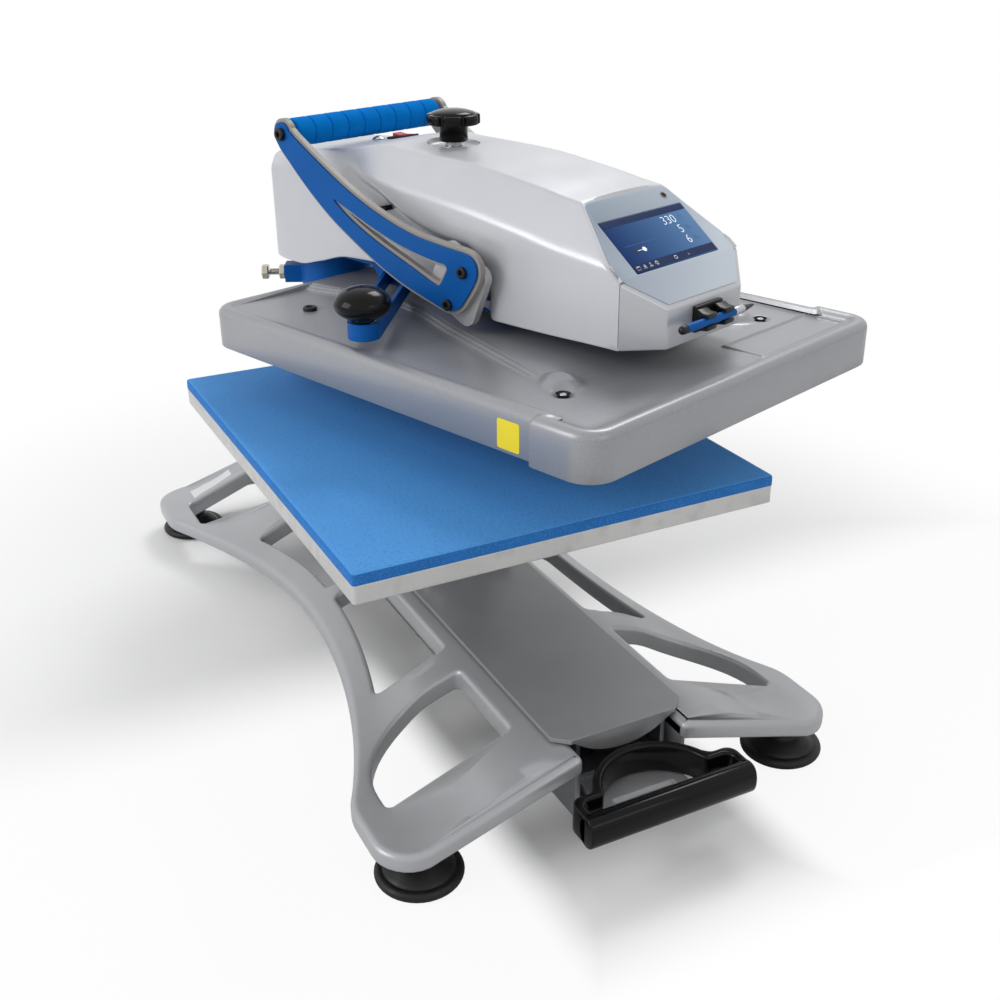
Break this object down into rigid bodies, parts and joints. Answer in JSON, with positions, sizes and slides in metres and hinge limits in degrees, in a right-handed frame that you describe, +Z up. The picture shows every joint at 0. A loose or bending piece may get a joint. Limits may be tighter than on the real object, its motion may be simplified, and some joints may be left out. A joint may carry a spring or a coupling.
{
  "type": "swing away heat press",
  "caption": "Swing-away heat transfer press with a draw-out lower platen, silicone pad, lever-driven upper platen, touch screen and windowed winged base.",
  "frame": {"origin": "on the floor under the centre of the lower platen, with the drawer in", "axes": "+Z up; +X the operator's right; +Y towards the back, along the base casting and the drawer's rails"},
  "size_m": [0.6064, 0.8503, 0.5343],
  "materials": {
    "cast_base": "satin",
    "cover_paint": "satin",
    "casting_paint": "satin",
    "steel": "satin",
    "plate_grey": "satin",
    "platen_alu": "satin",
    "blue_anodised": "satin",
    "blue_foam": "matte",
    "blue_silicone": "matte",
    "black_rubber": "matte",
    "black_plastic": "gloss",
    "bronze": "satin",
    "overlay": "matte",
    "screen_glass": "gloss",
    "red_plastic": "gloss",
    "board_green": "matte",
    "insulation": "matte",
    "inlay_blue": "satin"
  },
  "bodies": {
    "base": {"base_frame": "cast_base", "slide_rails": "steel", "rubber_feet": "black_rubber", "foot_studs": "steel", "foot_nuts": "steel", "swing_post": "steel", "post_flange": "steel", "post_bolts": "steel", "thrust_washer": "bronze", "post_cap": "steel"},
    "drawer": {"drawer_plate": "plate_grey", "carriage_beam": "steel", "bearing_blocks": "platen_alu", "platen_pedestal": "platen_alu", "lower_platen": "platen_alu", "silicone_pad": "blue_silicone", "draw_handle": "black_plastic", "handle_bracket": "platen_alu", "handle_screws": "steel"},
    "head": {"swing_arm": "inlay_blue", "hub_bushes": "bronze", "head_cover": "cover_paint", "front_bezel": "cover_paint", "control_panel": "overlay", "touch_screen": "screen_glass", "sensor_lens": "black_plastic", "control_board": "board_green", "rocker_bezel": "black_plastic", "cover_screw": "steel", "power_inlet": "black_plastic", "shaft_bearings": "bronze", "guide_bushes": "bronze", "lever_rest_pads": "black_rubber", "swing_bracket": "inlay_blue", "swing_knob": "black_plastic", "tension_bolt": "steel", "tension_locknut": "steel", "stylus_clip": "black_plastic", "return_springs": "steel"},
    "lever": {"lever_arms": "steel", "lever_inlays": "inlay_blue", "grip_tube": "steel", "foam_grip": "blue_foam", "arm_screws": "steel", "lever_shaft": "steel", "press_cams": "steel", "lever_hubs": "platen_alu"},
    "press": {"platen_casting": "casting_paint", "heater_plate": "platen_alu", "insulation_board": "insulation", "press_ram": "steel", "guide_rods": "steel", "rod_collars": "steel", "cam_shoe": "bronze", "casting_plug": "black_plastic"},
    "knob": {"pressure_knob": "black_plastic", "pressure_screw": "steel"},
    "nut": {"pressure_nut": "bronze"},
    "rocker": {"power_rocker": "red_plastic"},
    "pen": {"stylus": "blue_anodised"}
  },
  "joints": [
    {"name": "draw_slide", "type": "slide", "parent": "base", "child": "drawer", "axis": [0, -1, 0], "range_m": [0, 0.28]},
    {"name": "head_swing", "type": "hinge", "parent": "base", "child": "head", "pos_m": [0, 0.3124, 0.32], "axis": [0, 0, 1], "range_deg": [-18.64, 71.36]},
    {"name": "lever_pull", "type": "hinge", "parent": "head", "child": "lever", "pos_m": [0.09985, 0.01639, 0.3926], "axis": [0.9475, 0.3196, 0], "range_deg": [0, 150]},
    {"name": "press_down", "type": "slide", "parent": "head", "child": "press", "axis": [0, 0, -1], "range_m": [0, 0.0515], "stiffness_N_per_m": 3000, "springref_m": -0.08, "deforming": ["return_springs"]},
    {"name": "knob_turn", "type": "hinge", "parent": "head", "child": "knob", "pos_m": [0.06507, 0.11948, 0.51], "axis": [0, 0, 1], "range_deg": [-1080, 1080]},
    {"name": "nut_travel", "type": "slide", "parent": "head", "child": "nut", "axis": [0, 0, 1], "range_m": [-0.006, 0.006]},
    {"name": "rocker_tilt", "type": "hinge", "parent": "head", "child": "rocker", "pos_m": [0.04027, 0.19301, 0.49734], "axis": [-0.9475, -0.3196, 0], "range_deg": [0, 20]},
    {"name": "pen_slide", "type": "slide", "parent": "head", "child": "pen", "axis": [0.9475, 0.3196, 0], "range_m": [0, 0.12]}
  ],
  "couplings": [
    {"joint": "press_down", "follows": "lever_pull", "m_per_rad": 0.019672},
    {"joint": "nut_travel", "follows": "knob_turn", "m_per_rad": 0.00031831}
  ]
}
